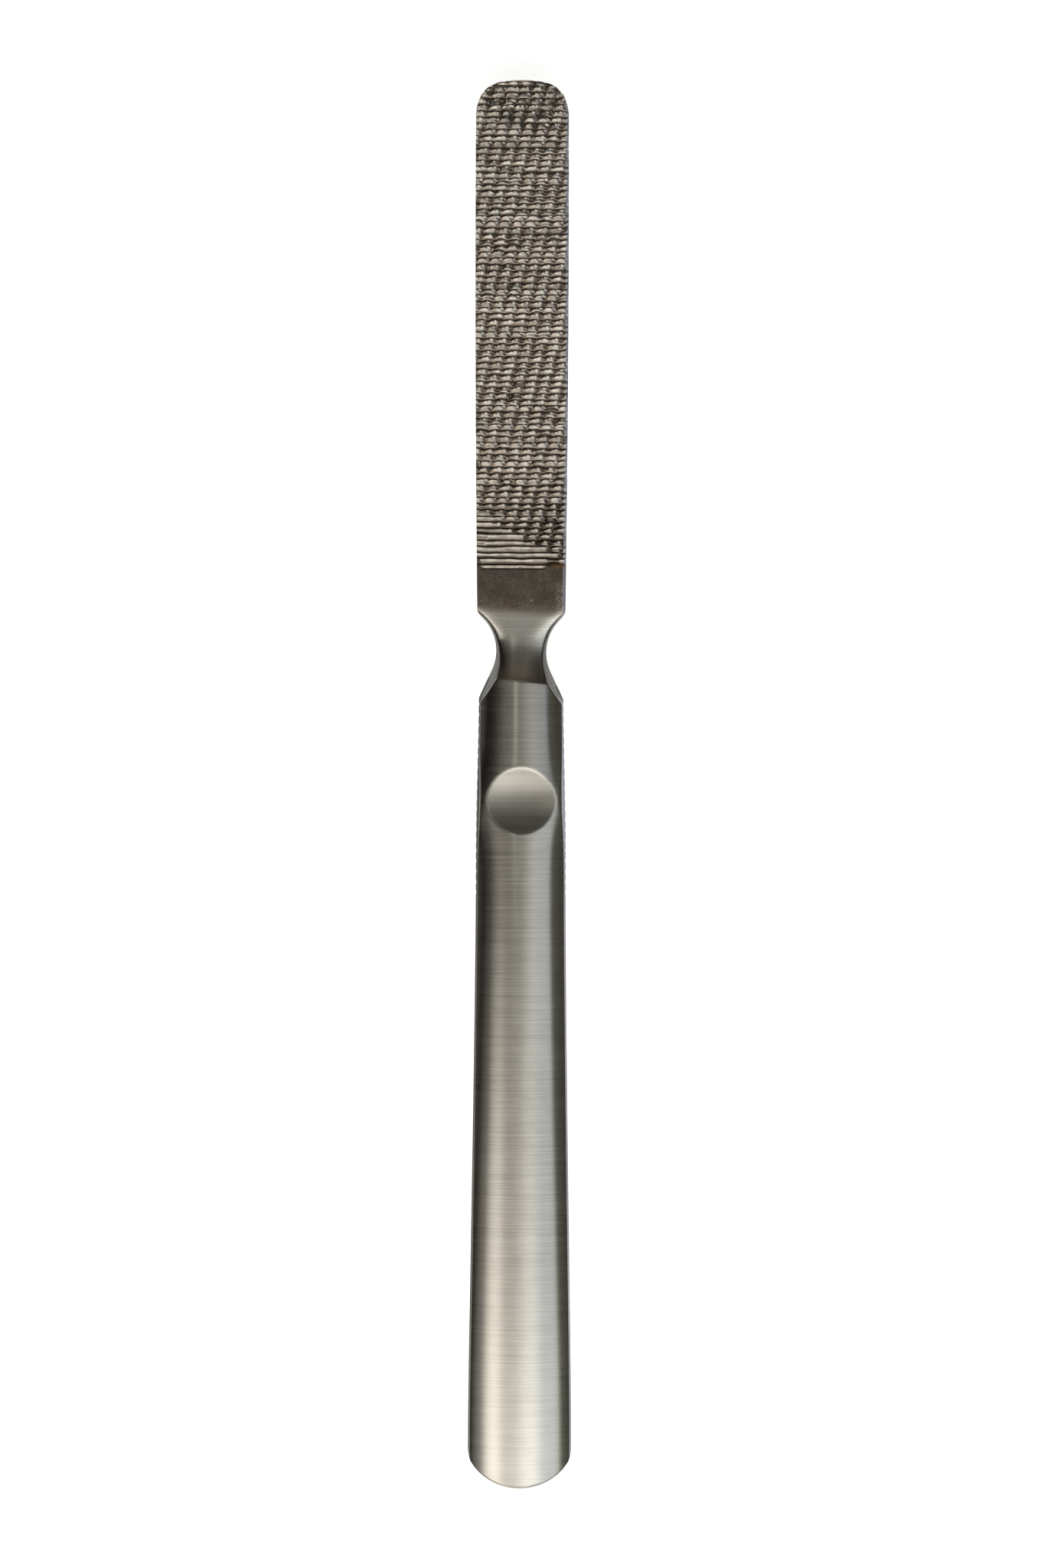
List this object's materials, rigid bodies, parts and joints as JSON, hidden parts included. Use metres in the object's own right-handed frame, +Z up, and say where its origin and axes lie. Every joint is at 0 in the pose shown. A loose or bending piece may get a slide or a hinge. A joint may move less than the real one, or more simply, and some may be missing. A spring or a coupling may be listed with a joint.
{
  "type": "foot file",
  "caption": "Slim steel foot file with a flat toothed blade, a ground waist and a hollow oval handle with thumb dimples and notched grip edges.",
  "frame": {"origin": "middle of the length, on the surface that the file lies on, under its long axis", "axes": "+Y along the file towards the tip of the blade, +Z up out of the front face, +X across to the right as seen from the front"},
  "size_m": [0.0148, 0.2, 0.0056],
  "materials": {
    "blade_steel": "hardened stainless steel, cut teeth, ground ricasso and neck, a little darker and warmer than the handle",
    "shell_steel": "stainless sheet, satin brushed across the handle",
    "weld_steel": "stainless weld, dressed flush with the shells and brushed with them",
    "braze_alloy": "pale silver braze, ground flush with the neck"
  },
  "bodies": {
    "root": {"file_blade": "blade_steel", "handle_front_shell": "shell_steel", "handle_back_shell": "shell_steel", "seam_weld": "weld_steel", "mouth_braze": "braze_alloy"}
  },
  "joints": []
}
